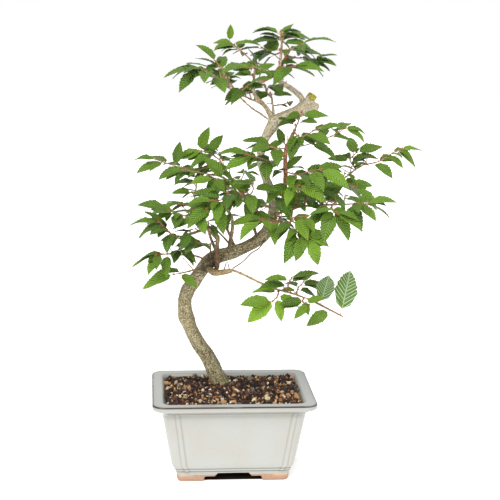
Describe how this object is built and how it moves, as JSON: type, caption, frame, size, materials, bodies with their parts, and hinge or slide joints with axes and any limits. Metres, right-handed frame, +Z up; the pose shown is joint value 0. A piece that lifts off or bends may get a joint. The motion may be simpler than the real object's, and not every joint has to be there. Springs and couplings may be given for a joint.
{
  "type": "korean hornbeam bonsai",
  "caption": "Korean hornbeam bonsai with a curved bare trunk and open leafy sprays, planted in a glazed rectangular pot on bracket feet.",
  "frame": {"origin": "bottom centre of the whole plant's and pot's bounding box, on the plane the feet stand on", "axes": "+Z up along the plant's height, +X to the viewer's right along the pot's long side, +Y away from the viewer along the pot's short side"},
  "size_m": [0.3706, 0.2128, 0.5679],
  "materials": {
    "glaze": "satin celadon glaze over stoneware, unglazed feet",
    "soil_mix": "loose bark and lava grains",
    "screen_plastic": "plain moulded grid",
    "bark": "rough grey-beige bark",
    "foliage": "ribbed satin leaves on thin brown twigs"
  },
  "bodies": {
    "root": {"pot": "glaze", "soil": "soil_mix", "drain_screen_left": "screen_plastic", "drain_screen_right": "screen_plastic", "trunk": "bark", "top_left_tip": "foliage", "top_left_up": "foliage", "top_left_low": "foliage", "top_left_back": "foliage", "top_high_left": "foliage", "crown_tip": "foliage", "crown_right": "foliage", "crown_left": "foliage", "top_right_tip": "foliage", "top_right_low": "foliage", "top_front": "foliage", "top_behind": "foliage", "top_middle": "foliage", "stub_twig": "foliage", "left_far_tip": "foliage", "left_far_front": "foliage", "left_crown": "foliage", "left_middle": "foliage", "left_inner": "foliage", "left_red_tip": "foliage", "left_back_low": "foliage", "left_pale": "foliage", "left_low_tip": "foliage", "left_dark": "foliage", "left_thin_tip": "foliage", "left_under": "foliage", "bend_leaves": "foliage", "low_left": "foliage", "trunk_front": "foliage", "left_front_tip": "foliage", "trunk_left": "foliage", "behind_tip": "foliage", "back_left_tip": "foliage", "red_tip": "foliage", "right_top": "foliage", "right_top_twig": "foliage", "red_left": "foliage", "red_right": "foliage", "red_front": "foliage", "right_mid": "foliage", "right_up": "foliage", "right_tip": "foliage", "right_inner": "foliage", "right_behind": "foliage", "right_low_tip": "foliage", "right_low_mid": "foliage", "front_right": "foliage", "front_low": "foliage", "front_left": "foliage", "right_back_tip": "foliage", "low_right_up": "foliage", "low_right_lime": "foliage", "low_right_back": "foliage", "low_right_front": "foliage", "low_right_tip": "foliage"}
  },
  "joints": []
}
